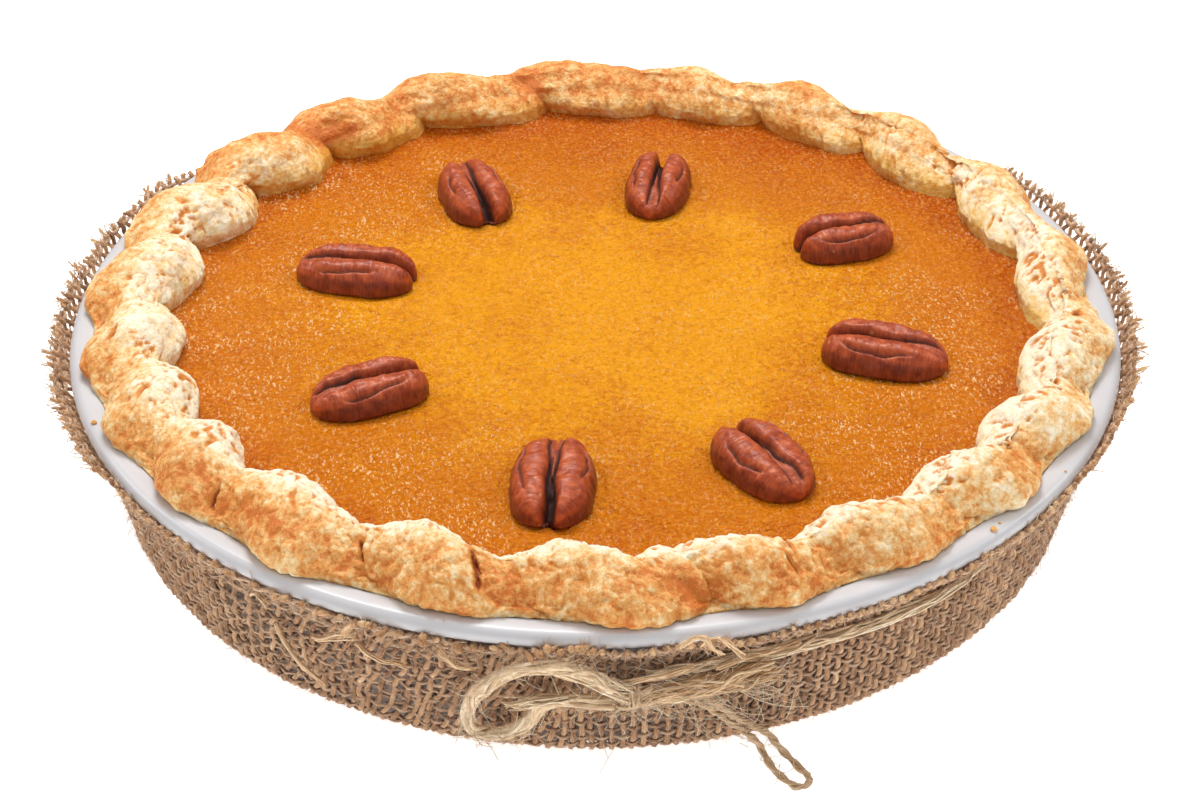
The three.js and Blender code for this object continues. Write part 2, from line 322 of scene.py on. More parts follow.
class Finish:
    """A material, its principled shader, and short ways to add and join nodes."""

    def __init__(self, name, **sockets):
        self.material = bpy.data.materials.new(name)
        self.material.use_nodes = True
        self.tree = self.material.node_tree
        self.shader = self.tree.nodes["Principled BSDF"]
        for socket, value in sockets.items():
            self.shader.inputs[socket.replace("_", " ")].default_value = value
        self.place = self.add("TexCoord").outputs["Object"]

    def add(self, kind, inputs=(), **settings):
        node = self.tree.nodes.new("ShaderNode" + kind)
        for key, value in settings.items():
            setattr(node, key, value)
        for socket, value in dict(inputs).items():
            if isinstance(value, bpy.types.NodeSocket):
                self.tree.links.new(value, node.inputs[socket])
            else:
                node.inputs[socket].default_value = value
        return node

    def noise(self, size, detail=3.0, rough=0.5, where=None):
        """Noise from 0 to 1 with features of a size in millimetres."""
        return self.pattern(where or self.place, 1 / (size * MM), detail, rough)

    def pattern(self, where, scale, detail, rough=0.5):
        settings = {"Vector": where, "Scale": scale, "Detail": detail, "Roughness": rough}
        return self.add("TexNoise", settings).outputs["Fac"]

    def cells(self, size):
        """Distance to the middle of the nearest of many cells of a size in millimetres."""
        return self.add("TexVoronoi", {"Vector": self.place, "Scale": 1 / (size * MM)}).outputs["Distance"]

    def stretched(self, scale, where, turn=0.0):
        settings = {"Vector": where, "Rotation": (0, 0, turn), "Scale": scale}
        return self.add("Mapping", settings).outputs[0]

    def read(self, name, socket="Fac"):
        return self.add("Attribute", attribute_name=name).outputs[socket]

    def band(self, source, low, high, bottom=0.0, top=1.0):
        """Maps a value between low and high to bottom and top, smoothly."""
        settings = {"Value": source, "From Min": low, "From Max": high, "To Min": bottom, "To Max": top}
        return self.add("MapRange", settings, interpolation_type="SMOOTHSTEP").outputs["Result"]

    def maths(self, operation, first, second=0.0, third=0.0):
        return self.add("Math", {0: first, 1: second, 2: third}, operation=operation).outputs[0]

    def plus(self, base, source, factor, shift):
        """Adds a source, times a factor and shifted, to a base value."""
        return self.maths("ADD", base, self.maths("MULTIPLY_ADD", source, factor, shift))

    def mix(self, factor, first, second):
        return self.add("Mix", {0: factor, 6: first, 7: second}, data_type="RGBA").outputs[2]

    def fade(self, source, low, high, first, second):
        """From the first colour to the second as a value goes from low to high."""
        return self.mix(self.band(source, low, high), first, second)

    def bump(self, height, distance, strength=1.0, below=None):
        settings = {"Height": height, "Distance": distance * MM, "Strength": strength}
        if below is not None:
            settings["Normal"] = below
        return self.add("Bump", settings).outputs["Normal"]

    def wire(self, **sockets):
        for socket, source in sockets.items():
            self.tree.links.new(source, self.shader.inputs[socket.replace("_", " ")])
        return self.material


def colour(red, green, blue):
    """A display colour from 0 to 255 as a linear one."""
    parts = [v / 255 for v in (red, green, blue)]
    return tuple(v / 12.92 if v <= 0.04045 else ((v + 0.055) / 1.055) ** 2.4 for v in parts) + (1.0,)


def glaze_finish():
    f = Finish("white_glaze", Roughness=0.34, Coat_Weight=0.12, Coat_Roughness=0.12)
    speck = f.band(f.cells(3.0), 0.05, 0.02)
    pale = f.mix(f.noise(25), colour(200, 198, 200), colour(207, 205, 207))
    spotted = f.mix(f.maths("MULTIPLY", speck, 0.35), pale, colour(170, 160, 150))
    # Painted shade: below 40 mm the wall, which the burlap covers, turns grey-brown as if shaded by the
    # threads.
    height = f.add("SeparateXYZ", {0: f.place}).outputs["Z"]
    shade_behind_cloth = f.band(height, 40 * MM, 36 * MM)
    with_cloth_shade = f.mix(shade_behind_cloth, spotted, colour(142, 124, 114))
    relief = f.bump(f.noise(9, 2), 0.12, 0.35)
    return f.wire(Base_Color=with_cloth_shade, Normal=relief)


def pastry_finish():
    f = Finish("baked_pastry", Roughness=0.62, Subsurface_Weight=0.15, Subsurface_Scale=0.003,
               Subsurface_Radius=(1.0, 0.6, 0.3), Specular_IOR_Level=0.35)
    baked = f.read("baked")
    hollow_and_shade = f.read("hollow_and_shade")
    moist = f.read("moist")
    mottle = f.noise(2.6, 5, 0.7)
    fine = f.noise(1.0, 4, 0.7)
    amount = f.plus(baked, mottle, 1.75, -0.87)
    amount = f.plus(amount, fine, 1.1, -0.55)
    pale = f.fade(amount, 0.0, 0.40, colour(252, 238, 210), colour(242, 206, 148))
    golden = f.fade(amount, 0.36, 0.68, pale, colour(229, 162, 86))
    brown = f.fade(amount, 0.66, 1.0, golden, colour(206, 112, 40))
    # Orange in pits, creases and seams is partly the browned pastry and partly painted shade; the dark brown of
    # the deepest cracks is painted shade.
    pitted = f.fade(hollow_and_shade, 0.05, 0.5, brown, colour(218, 138, 58))
    deep = f.fade(hollow_and_shade, 0.6, 1.3, pitted, colour(150, 70, 22))
    egg = f.mix(f.maths("MULTIPLY", moist, 0.8), deep, colour(218, 166, 48))
    crumb = f.bump(f.noise(0.9, 3, 0.6), 0.26, 0.8)
    flakes = f.bump(f.noise(2.2, 3, 0.6), 0.7, 0.9, crumb)
    pores = f.bump(f.band(f.cells(1.5), 0.05, 0.32), 0.22, 0.4, flakes)
    return f.wire(Base_Color=egg, Normal=pores)


def custard_finish():
    f = Finish("pumpkin_custard", Subsurface_Weight=0.05, Subsurface_Scale=0.002,
               Subsurface_Radius=(1.0, 0.4, 0.1), Specular_IOR_Level=0.22, Specular_Tint=(1.0, 0.72, 0.38, 1))
    edge = f.read("edge")
    broad = f.noise(28, 4, 0.6)
    fine = f.noise(1.7, 4, 0.72)
    tone = f.plus(edge, broad, 1.1, -0.55)
    tone = f.plus(tone, fine, 1.5, -0.75)
    middle = f.fade(tone, -0.2, 0.5, colour(238, 156, 6), colour(205, 110, 0))
    outer = f.fade(tone, 0.5, 1.25, middle, colour(180, 76, 0))
    # Painted glints: pale streaks and dots stand in for sparkles of light off the custard, mostly in the zones
    # read from the piece.
    glint_zone = f.band(f.noise(20, 4, 0.65), 0.38, 0.62)
    glint_zone = f.maths("MULTIPLY", glint_zone, f.read("glint_area"))
    slanted = f.stretched((1, 0.45, 1), f.place, 0.9)
    light = f.maths("MULTIPLY", f.band(f.noise(1.0, 2, 0.6), 0.46, 0.66), 0.28)
    dark = f.maths("MULTIPLY", f.band(f.noise(1.5, 2, 0.6), 0.46, 0.30), 0.35)
    grainy = f.mix(dark, f.mix(light, outer, colour(248, 178, 62)), colour(184, 88, 0))
    glint_drops = f.maths("MULTIPLY", f.band(f.noise(0.85, 2, 0.5, slanted), 0.59, 0.69), glint_zone)
    everywhere = f.maths("MULTIPLY_ADD", glint_zone, 0.75, 0.25)
    glint_specks = f.maths("MULTIPLY", f.band(f.noise(0.6, 2, 0.5, slanted), 0.60, 0.70), everywhere)
    painted_glints = f.maths("MULTIPLY", f.maths("MAXIMUM", glint_drops, glint_specks), 0.75)
    with_painted_glints = f.mix(painted_glints, grainy, colour(252, 218, 166))
    pebbles = f.bump(f.noise(1.1, 3, 0.6), 1.2, 1.0)
    swells = f.bump(f.noise(2.8, 3, 0.6), 1.2, 0.8, pebbles)
    gloss = f.band(f.noise(14, 3, 0.6), 0.3, 0.7, 0.15, 0.32)
    return f.wire(Base_Color=with_painted_glints, Normal=swells, Roughness=gloss)


def pecan_finish():
    f = Finish("pecan_skin", Specular_IOR_Level=0.45, Specular_Tint=(1.0, 0.85, 0.78, 1))
    groove = f.read("groove")
    flank = f.read("flank")
    own = f.read("own", "Vector")
    mottle = f.noise(3.0, 5, 0.65)
    crosswise = f.pattern(f.stretched((1.6, 0.35, 0.2), own), 1.3, 4.0, 0.62)
    shade = f.plus(mottle, crosswise, 0.7, -0.35)
    ridge = f.fade(shade, 0.25, 0.85, colour(142, 52, 26), colour(208, 102, 56))
    side = f.fade(shade, 0.25, 0.85, colour(104, 38, 24), colour(160, 76, 46))
    body = f.fade(flank, 0.2, 0.9, ridge, side)
    # The furrow and grooves are darker partly in the skin's own colour and partly as painted shade in the slot.
    dark = f.fade(groove, 0.1, 0.85, body, colour(52, 16, 10))
    spots = f.maths("MULTIPLY", f.band(f.cells(5.0), 0.12, 0.05), 0.6)
    spotted = f.mix(spots, dark, colour(214, 150, 84))
    wrinkle = f.bump(crosswise, 0.22, 0.6)
    skin_bump = f.bump(f.noise(0.9, 3, 0.6), 0.10, 0.5, wrinkle)
    shine = f.band(groove, 0.0, 0.7, 0.36, 0.75)
    return f.wire(Base_Color=spotted, Normal=skin_bump, Roughness=shine)


def jute_finish(name, dark, middle, light, shine=0.15):
    """Spun plant fibre: streaks and hairs along each thread, between three display colours."""
    dark, middle, light = (colour(*shade) for shade in (dark, middle, light))
    f = Finish(name, Roughness=0.82, Sheen_Weight=shine, Sheen_Roughness=0.5, Specular_IOR_Level=0.25)
    laid = f.read("laid", "Vector")
    thread = f.stretched((0.22, 1, 1), laid)
    streak = f.pattern(thread, 3.0, 4.0, 0.65)
    blot = f.pattern(laid, 0.35, 2.0)
    tone = f.read("tone")
    amount = f.plus(f.maths("MULTIPLY", streak, 0.9), tone, 0.3, -0.15)
    amount = f.plus(amount, blot, 0.5, -0.25)
    lower = f.fade(amount, 0.22, 0.5, dark, middle)
    upper = f.fade(amount, 0.5, 0.8, lower, light)
    fibres = f.bump(streak, 0.22, 0.8)
    return f.wire(Base_Color=upper, Normal=fibres)


GLAZE = glaze_finish()
PASTRY = pastry_finish()
CUSTARD = custard_finish()
NUT = pecan_finish()
WARP_JUTE = jute_finish("burlap_upright_threads", (128, 90, 64), (194, 150, 112), (238, 202, 162))
WEFT_JUTE = jute_finish("burlap_round_threads", (146, 110, 86), (206, 170, 138), (242, 216, 186))
END_JUTE = jute_finish("burlap_cut_ends", (160, 112, 72), (216, 170, 122), (246, 216, 174))
TWINE_JUTE = jute_finish("pale_twine", (214, 178, 138), (246, 220, 182), (254, 246, 226), 0.4)
TAIL_JUTE = jute_finish("grey_twine", (168, 132, 98), (214, 180, 142), (240, 220, 188))
LOOSE_JUTE = jute_finish("loose_thread", (190, 146, 104), (236, 198, 152), (252, 234, 204))
HAIR = jute_finish("stray_fibre", (176, 142, 112), (220, 190, 158), (246, 230, 210))
PALE_HAIR = jute_finish("pale_stray_fibre", (200, 170, 134), (232, 210, 178), (250, 240, 222))


def dress(piece, finish, slot, *nodes):
    """Gives a finished piece its material and the solids that it stands for; slot is not used."""
    piece.data.materials.clear()
    piece.data.materials.append(finish)
    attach(piece, "root")
    if nodes:
        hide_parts(*nodes)


# ---- camera ----

CAMERA_PLACE = (0, -609.66, 426.5)
CAMERA_AIM = (1.13, -37.59, 43.5)
CAMERA_LENS = 82.22


def camera():
    bpy.ops.object.camera_add(location=[v * MM for v in CAMERA_PLACE])
    view = bpy.context.object
    view.data.lens = CAMERA_LENS
    view.data.sensor_width = 36
    view.data.clip_start = 0.05
    target = np.array(CAMERA_AIM) * MM
    direction = Vector(target) - view.location
    view.rotation_euler = direction.to_track_quat("-Z", "Y").to_euler()
    bpy.context.scene.camera = view


camera()


# ---- twine ----

def spun(name, route, half, count, twist, wander, strand, seed, sides=4, loose=0.0, uneven=0.0):
    """A bundle of fibre strands laid along a route, turning round each other.

    half is the half width of the bundle, all along or at each point, and twist the length of one turn.
    uneven is the share of the length by which the strands may stop short of the end.
    """
    points = len(route)
    along = unit(np.gradient(route, axis=0))
    out = unit(route * [1, 1, 0])
    side = unit(np.cross(along, out))
    out = np.cross(side, along)
    run = run_along(route)
    paths = []
    for k in range(count):
        start = 2 * math.pi * k / count + rng.uniform(-0.5, 0.5)
        reach = np.broadcast_to(half, points) * math.sqrt(rng.uniform(0.1, 1))
        sway = stacked(run, 31.0 * k, 7.0 * seed)
        turn = start + 2 * math.pi * run / twist + grain(sway, 9, seed) * 1.4
        far = reach * (1 + wander * grain(sway + 50, 14, seed))
        far = far + loose * np.maximum(grain(sway + 90, 11, seed), 0)
        path = route + side * (far * np.cos(turn))[:, None] + out * (far * np.sin(turn) * 0.75)[:, None]
        if uneven:
            cut = np.linspace(0, (points - 1) * (1 - uneven * rng.uniform()), points)
            path = stacked(*(np.interp(cut, np.arange(points), column) for column in path.T))
        paths.append(path)
    paths = np.array(paths)
    width = strand * rng.uniform(0.7, 1.25, (count, 1)) * np.ones(points)
    width[:, 0] *= 0.6
    width[:, -1] *= 0.6
    return strands(name, paths, width, 0.8, sides)


def twine_bow():
    route = routed(BOW_ROUTE, 110)
    bow = spun("twine_bow_loop", route, 1.5, 17, 60, 0.35, 0.56, 1, sides=5)
    dress(bow, TWINE_JUTE, "twine", "twine_bow")


def twine_tail():
    route = routed(TAIL_ROUTE, 150)
    tail = spun("twine_tail_loop", route, 0.6, 7, 8.0, 0.1, 0.5, 2)
    dress(tail, TAIL_JUTE, "twine", "twine_tail")


twine_bow()
twine_tail()


def twine_ring():
    """Loose fibre wound round the dish, which sinks into the cloth away from the right of the knot."""
    angle = np.linspace(KNOT["angle"] + 1.2, KNOT["angle"] + 358.8, 700)
    past = angle - KNOT["angle"]
    shown = 1 - smoothstep(30, 46, past)
    near = bell(np.minimum(past, 360 - past), 0, 6)
    route = polar(angle, 129.4 + 3.2 * shown + 2.8 * near * (1 - shown), 32.6 + 1.6 * shown - 2.4 * near)
    half = 0.5 + 0.9 * shown
    ring = spun("twine_round_dish", route, half, 18, 160, 0.6, 0.36, 3, loose=0.6 * shown)
    dress(ring, TWINE_JUTE, "twine", "twine_ring")


def twine_knot():
    """Turns of fibre round the crossing, upright over level ones."""
    centre = polar(KNOT["angle"], KNOT["radius"], KNOT["z"])
    along = polar(KNOT["angle"] + 90, 1, 0)
    out = polar(KNOT["angle"], 1, 0)
    up = np.array([0, 0, 1.0])
    paths = []
    for _ in range(11):
        turn = np.linspace(0, 2 * math.pi, 48) + rng.uniform(0, 6)
        shift = rng.uniform(-1.6, 1.6)
        size = 0.8 + 0.2 * rng.uniform()
        lean = rng.uniform(-0.3, 0.3)
        paths.append(centre + np.outer(shift + lean * 3 * np.sin(turn), along)
                     + np.outer(2.7 * size * np.cos(turn), out) + np.outer(3.3 * size * np.sin(turn), up))
    for _ in range(18):
        turn = np.linspace(0, 2 * math.pi, 48) + rng.uniform(0, 6)
        size = 0.75 + 0.2 * rng.uniform()
        lift = rng.uniform(-2.4, 2.4)
        paths.append(centre + np.outer(4.3 * size * np.cos(turn), along)
                     + np.outer(2.2 * size * np.sin(turn), out) + np.outer(lift + 1.2 * np.cos(turn), up))
    knot = strands("twine_tied_knot", np.array(paths), 0.38, 0.8, 4)
    dress(knot, TAIL_JUTE, "twine", "twine_knot")


twine_ring()
twine_knot()


# ---- dish ----

def dish():
    inner_corner = 3.6
    outside = [(112.0, 2.3), *bend(117, 10, 7.7, -80, -11, 8), (128.9, 32.0), (130.9, 40.3)]
    lip = bend(134.0, 44.3, 2.2, -70, 90, 12)
    inside = [(131.2, 46.4), *bend(129.2, 43.9, 2.4, 70, 12, 4), (126.6, 40.0), (124.2, 32.0), (119.8, 10.5),
              *bend(113.0, 10.6, inner_corner, -20, -90, 5)]
    inside = [(radius, max(z, 6.8)) for radius, z in inside]
    foot = [(60.0, 2.9), (100.0, 2.9), (104.0, 2.3)]
    piece = turned("glazed_dish", [*foot, *outside, *lip, *inside, (60.0, 6.8)])
    dress(piece, GLAZE, "ceramic", "dish")


dish()


# ---- rolled pastry edge ----

COUNT = len(FLUTES)
FOLD_ANGLES = [a for a, _ in FLUTES]
FOLD_DEPTHS = [d for _, d in FLUTES]
LAPS = np.arange(-COUNT, 2 * COUNT + 1)
LAP_ANGLES = np.array([FOLD_ANGLES[k % COUNT] + 360 * (k // COUNT) for k in LAPS])
LAP_DEPTHS = np.array([FOLD_DEPTHS[k % COUNT] for k in LAPS])


def fold_at(place):
    """Direction in degrees and depth at a place counted in flutes."""
    return np.interp(place, LAPS, LAP_ANGLES), np.interp(place, LAPS, LAP_DEPTHS)


def place_of(angle):
    return np.interp(angle, LAP_ANGLES, LAPS)


def arch(phase):
    """Round-topped fingers: 1 on a finger's back, near 0 in the narrow crease at a whole phase."""
    side = 2 * (phase - np.floor(phase)) - 1
    side = side + 0.18 * (1 - side * side)
    return np.sqrt(np.clip(1 - 0.97 * side ** 2, 0, 1))


def scallop(phase, shown):
    """Height of the fingers: narrow creases towards the filling, soft waves over the crest."""
    soft = 0.5 - 0.5 * np.cos(2 * math.pi * phase)
    over = smoothstep(0.05, 0.32, shown) * (1 - 0.45 * smoothstep(0.72, 0.92, shown))
    return arch(phase) * (1 - 0.8 * over) + (0.10 + soft) * 0.8 * over


def inner_edge(place):
    """Distance from the axis to the inner edge of the roll, which the filling runs up to."""
    angle, depth = fold_at(place)
    mean = RIM["inner"] + 0.8 + RIM_SHIFT * np.cos(np.radians(angle))
    return mean - FINGER[1] * depth * (arch(place + 0.5) - 0.58)


SHOWN_COLUMNS = 92
HIDDEN_COLUMNS = 10
FINGER_AT = [0, 0.12, 0.3, 0.5, 0.7, 0.85, 1.0]          # from the filling over the crest to the lip
FINGER = [8.0, 9.2, 5.6, 3.8, 5.2, 6.8, 4.4]             # how far the fingers stand out there


def roll_sections(place):
    """Cross-sections of the roll: control points go from the foot inside, over the crest, to the lip."""
    angle, _ = fold_at(place)
    inner = RIM["inner"] + 0.8 + RIM_SHIFT * np.cos(np.radians(angle))
    crest = RIM["crest"] + 1.4 + RIM_SHIFT / 2 * np.cos(np.radians(angle))
    outer = RIM["outer"] - 0.4 + 0 * place
    swell = grain(stacked(place * 34, 0, 0), 60, 5)
    top = CREST_Z - 0.3 + 1.0 * swell
    flank = outer - crest
    control = [
        (inner + 1.2, LEVEL_Z - 4), (inner + 0.2, LEVEL_Z + 0.2), (inner - 0.3, LEVEL_Z + 4.6),
        (inner + 1.4, LEVEL_Z + 8.4), (inner + 4.8, top - 1.2), (crest + 0.8, top),
        (crest + 0.42 * flank, top - 1.1), (crest + 0.74 * flank, top - 3.6), (outer - 0.2, top - 6.8),
        (outer + 0.4, LIP_TOP + 1.6), (outer - 0.4, LIP_TOP + 0.15), (outer - 4, LIP_TOP + 0.05),
        (0 * place + 124.5, 0 * place + LIP_TOP - 3), (inner + 7, LEVEL_Z - 6),
    ]
    control = np.array([stacked(r, z + 0 * place) for r, z in control])
    count = len(control)
    shown = np.linspace(0, 10, SHOWN_COLUMNS, endpoint=False)
    hidden = np.linspace(10, count, HIDDEN_COLUMNS, endpoint=False)
    t = np.concatenate([shown, hidden])
    i = t.astype(int)
    f = (t - i)[:, None, None]
    a, b, c, d = (control[(i + k) % count] for k in (-1, 0, 1, 2))
    return np.moveaxis(spline(a, b, c, d, f), 0, 1), t


def dents(shape, along, across, spots):
    """Depth of a set of dents. A spot is (along, across, length, width, turn, depth)."""
    total = np.zeros(shape)
    for a, b, length, width, turn, depth in spots:
        reach = 2.2 * max(length, width)
        first, last = np.searchsorted(along, (a - reach, a + reach))
        if first >= last:
            continue
        da = along[first:last, None] - a
        db = across[first:last] - b
        u = (da * math.cos(turn) + db * math.sin(turn)) / length
        v = (db * math.cos(turn) - da * math.sin(turn)) / width
        u = u + 0.3 * np.sin(v * 2.1 + a)
        v = v + 0.4 * np.sin(u * 2.7 + 3 * b) + 0.2 * np.sin(u * 6.0 + a)
        total[first:last] = np.maximum(total[first:last], depth * np.exp(-((u * u + v * v) ** 1.4)))
    return total


ROLL_RADIUS = 121.0

# Cracks listed one by one: direction, distance from the axis, length, width, turn, depth.
CRACKS = [
    (-135.0, 128, 4.0, 0.55, 1.35, 2.0), (-115.5, 125, 3.6, 0.5, 1.25, 1.6), (-102.5, 125, 5.0, 0.6, 1.15, 2.6),
    (-98.6, 124, 4.0, 0.35, 1.25, 0.7), (-97.2, 121, 4.0, 0.35, 1.8, 0.6), (-69.2, 122, 4.4, 0.45, 1.5, 1.5),
    (-70.0, 127, 3.2, 0.55, 1.5, 1.3), (-59.5, 117, 2.0, 1.0, 0.2, 1.3), (-55.0, 121, 1.6, 0.8, 0.3, 1.2),
    (-40.0, 121, 1.8, 0.8, 0.9, 1.1), (-154.0, 122, 2.6, 0.6, 0.9, 1.3), (-168.0, 124, 2.4, 0.6, 0.6, 1.2),
    (-125.0, 121, 2.6, 0.5, 0.8, 1.2), (-22.0, 123, 2.2, 0.7, 0.5, 1.2), (-8.0, 124, 2.2, 0.7, 0.4, 1.3),
]


def pastry_roll(name, start, end, swollen):
    """One strip of dough rolled over the lip and pinched, between two directions in degrees.

    swollen is how much the strip's first and last stretch stand out, as (first, last) in millimetres.
    """
    first, last = place_of(start), place_of(end)
    length = math.radians(end - start) * ROLL_RADIUS
    rows = int(length / 0.56)
    place = np.interp(np.linspace(start, end, rows), *reversed(direction_table(first, last)))
    section, t = roll_sections(place)
    angle, _ = fold_at(place)
    radius, z = section[..., 0], section[..., 1]
    shown = np.clip(t / 10, 0, 1)
    shown = np.where(t > 12, 0, shown)
    weight = 1 - smoothstep(9.2, 10.2, t)
    across = np.cumsum(np.linalg.norm(np.diff(section, axis=1, prepend=section[:, :1]), axis=2), axis=1)
    along = np.linspace(0, length, rows)

    # rounded ends, which lean as the folds do
    run = np.minimum(along, length - along)
    close = np.sqrt(np.clip(1 - (1 - np.clip(run / 7.5, 0, 1)) ** 2, 0.0004, 1))[:, None]
    radius = ROLL_RADIUS + (radius - ROLL_RADIUS) * close
    z = 47.0 + (z - 47.0) * close
    lean = 7 * (radius - ROLL_RADIUS) / 10 * np.exp(-run / 14)[:, None]
    turned_angle = angle[:, None] + np.degrees(lean / ROLL_RADIUS)
    at = polar(turned_angle, radius, z)
    swell = swollen[0] * bell(along, 0, 16) + swollen[1] * bell(length - along, 0, 16)

    normal = unit(np.cross(np.gradient(at, axis=0), np.gradient(at, axis=1)))
    middle = at.mean(1, keepdims=True)
    if ((at - middle) * normal).sum(-1).mean() < 0:
        normal = -normal

    # fingers between folds that lean from the inner notches to the outer ones
    phase = place[:, None] + 0.5 * (1 - shown) + 0.035 * grain(at, 15, 11)
    gap = phase - np.round(phase)
    spacing = 33.0
    strength = np.interp(phase, LAPS, LAP_DEPTHS)
    edge = 0.25 + 0.75 * np.abs(2 * shown - 1) ** 1.3
    reach = np.interp(shown, FINGER_AT, FINGER)
    finger = strength * reach * (scallop(phase, shown) - 0.58)
    crease_width = 0.8 + 0.4 * grain(at, 9, 12)
    crease = strength * edge * 0.75 * np.exp(-(np.abs(gap * spacing) / crease_width) ** 1.2)
    crease *= smoothstep(-0.5, 0.35, grain(at, 13, 13) + 1.1 * edge - 0.45)

    # lumps, flakes, holes and cracks
    ahead = 1 - smoothstep(35, 75, away(angle, -90))[:, None]
    lumps = 0.9 * clouds(at, 12, 2, 20) + 0.45 * grain(at, 5.0, 24)
    puffs = np.abs(grain(at, 3.6, 29))
    small_puffs = np.abs(grain(at, 1.9, 30))
    flakes = 1.35 * np.minimum(puffs, 0.42) + 0.6 * np.minimum(small_puffs, 0.42) - 0.55
    cracks_between = np.maximum(0.16 - puffs, 0) / 0.16 * smoothstep(-0.1, 0.5, grain(at, 11, 32))
    torn = np.abs(grain(at * [1, 1, 1.4], 4.5, 31))
    seams = 0.4 * bell(torn, 0, 0.10) * smoothstep(0.0, 0.5, grain(at, 16, 33))
    heading = (angle + 360) % 360
    back = smoothstep(15, 60, heading) * (1 - smoothstep(120, 165, heading))
    crumbly = (1 - 0.6 * back)[:, None]
    width = across[:, SHOWN_COLUMNS - 1].mean()
    spots = []
    for _ in range(int(length * 1.3)):
        spots.append((rng.uniform(0, length), width * np.clip(rng.normal(0.45, 0.12), 0.15, 0.85),
                      rng.uniform(0.4, 1.1), rng.uniform(0.3, 0.6), rng.uniform(0.6, 2.2),
                      rng.uniform(0.2, 0.7)))
    for _ in range(int(length * 0.8)):
        spots.append((rng.uniform(0, length), width * rng.uniform(0.5, 0.92),
                      rng.uniform(0.5, 1.5), rng.uniform(0.35, 0.6), rng.normal(1.5, 0.4),
                      rng.uniform(0.2, 0.6)))
    for _ in range(int(length / 7)):
        centre = rng.uniform(0, length)
        height = width * np.clip(rng.normal(0.42, 0.09), 0.2, 0.7)
        for _ in range(6):
            spots.append((centre + rng.normal(0, 3.0), height + rng.normal(0, 1.4), rng.uniform(0.5, 1.5),
                          rng.uniform(0.4, 0.7), rng.uniform(0.3, 1.6), rng.uniform(0.5, 1.3)))
    holes = dents(radius.shape, along, across, spots) * crumbly
    deep = []
    for direction, far, long, wide, turn, depth_mm in CRACKS:
        for lap in (-360, 0, 360):
            if start < direction + lap < end:
                row = int(np.searchsorted(np.linspace(start, end, rows), direction + lap))
                outer_part = slice(35, SHOWN_COLUMNS)
                column = 35 + int(np.argmin(np.abs(radius[row, outer_part] - far)))
                deep.append((along[row], across[row, column], long, 1.2 * wide, turn, depth_mm))
    cracks = dents(radius.shape, along, across, deep)
    relief = finger + swell[:, None] + lumps + flakes * crumbly * (0.62 + 0.38 * ahead)
    relief = relief - crease - seams * crumbly - np.maximum(holes, cracks)
    at = at + normal * (relief * weight * close)[..., None]
    from_axis = np.hypot(at[..., 0], at[..., 1])
    lip = LIP_TOP - 2.2 + np.sqrt(np.clip(2.2 ** 2 - np.maximum(from_axis - 134, 0) ** 2, 0, None))
    low = (t > 8.4) & (t < 12)
    at[..., 2] = np.where(low, np.maximum(at[..., 2], lip + 0.05), at[..., 2])
    under = (t > 9.5) & (t < 11.6)
    at[..., 2] = np.where(under, np.minimum(at[..., 2], lip - 0.15), at[..., 2])

    # browning: gold on the outer flank, pale crest, moist foot at the filling; the colour in hollows is partly
    # browning and partly painted shade, and the amounts below also carry painted shade and a painted highlight
    outer_flank = smoothstep(0.44, 0.70, shown) * (1 - 0.7 * smoothstep(0.88, 0.98, shown))
    patchy = clouds(at, 15, 3, 40)
    # Darker along the pinched creases: partly browning, partly painted shade.
    pinch = bell(gap * spacing, 0, 4.5) * edge
    baked = 0.10 + (0.44 - 0.02 * ahead) * outer_flank + 0.20 * patchy * (0.35 + outer_flank) + 0.14 * pinch
    bearing = (angle + 180) % 360 - 180
    # Seen from the front: the outer flank in front is darkened as painted shade and the crest in front is paled
    # as a painted highlight.
    baked = baked + 0.17 * ahead * smoothstep(0.40, 0.60, shown)
    baked = baked - 0.16 * ahead * (1 - smoothstep(0.32, 0.50, shown))
    # Paler towards the right, darker towards the back left.
    baked = baked - 0.16 * bell(bearing, -28, 36)[:, None]
    baked = baked + 0.14 * bell(bearing, 130, 26)[:, None]
    # Painted shade: the back of the rim, whose inner flank faces away from the lamps, is darker, less so on its
    # outer flank.
    baked = baked + back[:, None] * (0.46 + 0.3 * np.maximum(patchy, 0)) * (1 - 0.8 * outer_flank)
    # Painted shade: the low parts of the small relief are darker, the raised parts paler.
    baked = baked - 0.18 * np.clip(relief - finger - swell[:, None], -1.2, 1.2)
    # How much each spot takes the hollow colour: pits, cracks, creases and seams, partly browning and partly
    # painted shade.
    hollow_and_shade = 0.75 * holes + cracks / 1.2 + 0.4 * crease + seams * 0.7 + 0.34 * cracks_between * crumbly
    right = bell(bearing, 12, 42)[:, None]
    left = bell(heading, 128, 22)[:, None]
    foot = 1 - smoothstep(0.13, 0.30, shown + 0.05 * grain(at, 8, 44))
    moist = foot * np.clip(0.25 + 0.75 * right + 0.4 * left, 0, 1) * (t < 10)
    values = [("baked", np.clip(baked, 0, 1.2)), ("hollow_and_shade", np.clip(hollow_and_shade, 0, 1.6)), ("moist", moist)]
    return skin(name, at, values)


def direction_table(first, last):
    places = np.linspace(first - 0.01, last + 0.01, 2000)
    return places, fold_at(places)[0]


